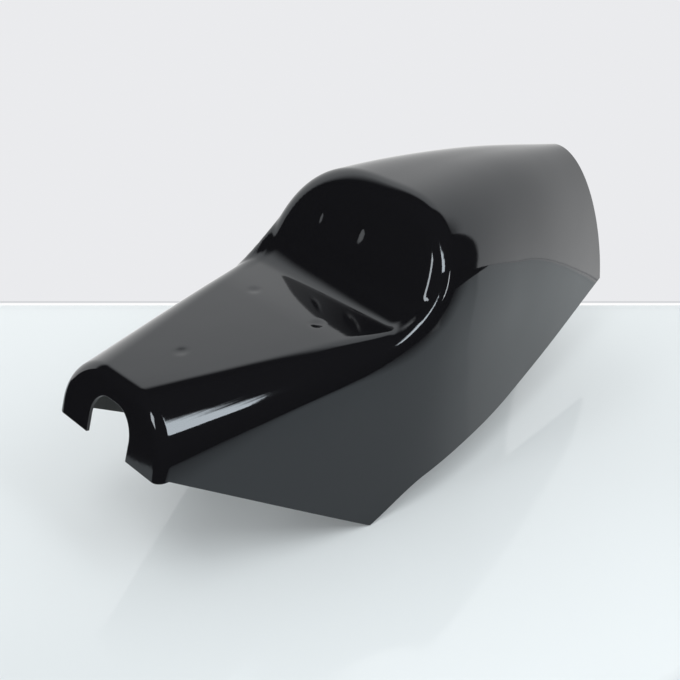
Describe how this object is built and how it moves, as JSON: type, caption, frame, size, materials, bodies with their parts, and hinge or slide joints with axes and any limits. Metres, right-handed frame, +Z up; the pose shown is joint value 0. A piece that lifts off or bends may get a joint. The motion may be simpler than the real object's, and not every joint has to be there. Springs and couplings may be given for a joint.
{
  "type": "moped rear cowl",
  "caption": "One-piece gloss black moulded shell: flat seat deck, raked backrest, rounded hump tapering to an open tail, notched nose and deep open sides.",
  "frame": {"origin": "on the mid-plane, under the middle of the length, level with the two low corners of the side panels", "axes": "+X towards the tail, +Y towards the rider's right, +Z up with the seat deck level"},
  "size_m": [0.594, 0.2188, 0.2597],
  "materials": {
    "shell": "gloss black gel coat over glass fibre, rough grey fibre on the inside"
  },
  "bodies": {
    "root": {"cowl_shell": "shell"}
  },
  "joints": []
}
